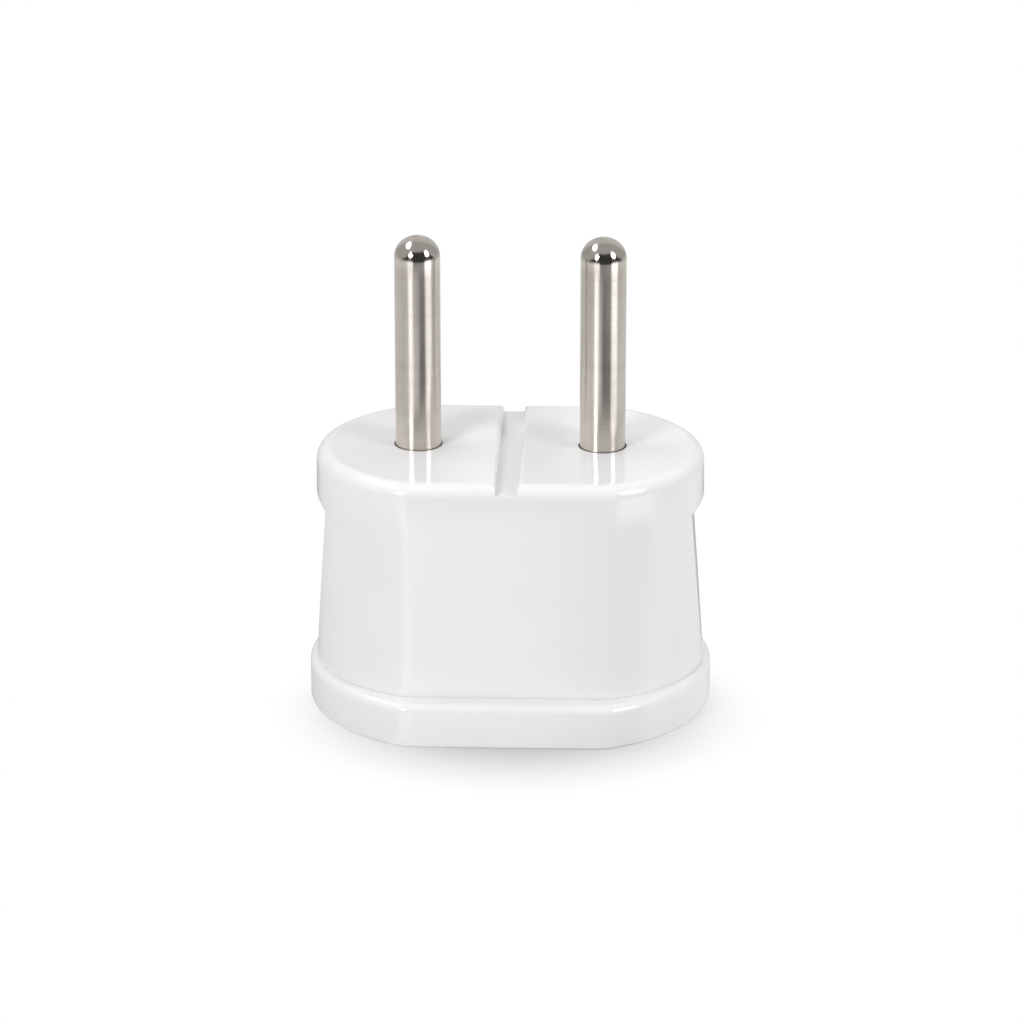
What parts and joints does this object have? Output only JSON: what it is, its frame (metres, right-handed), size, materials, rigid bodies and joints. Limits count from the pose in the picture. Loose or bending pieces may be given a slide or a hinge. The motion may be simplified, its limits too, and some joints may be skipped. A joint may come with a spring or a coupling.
{
  "type": "two-pin plug",
  "caption": "Moulded plug body with round pins on one face and blade slots in the other, carrying current from a flat-bladed plug to a round-pin wall socket.",
  "frame": {"origin": "middle of the socket face, which the plug stands on", "axes": "+Z along the pins towards their tips, X along the row of pins, Y across the flat panels"},
  "size_m": [0.0418, 0.0314, 0.0498],
  "materials": {
    "white_plastic": "gloss",
    "plated_pin": "satin",
    "contact_sheet": "satin",
    "screw_steel": "satin"
  },
  "bodies": {
    "root": {"housing": "white_plastic", "socket_base": "white_plastic", "pin_left": "plated_pin", "pin_right": "plated_pin", "contact_left": "contact_sheet", "contact_right": "contact_sheet", "cover_screw": "screw_steel"}
  },
  "joints": []
}
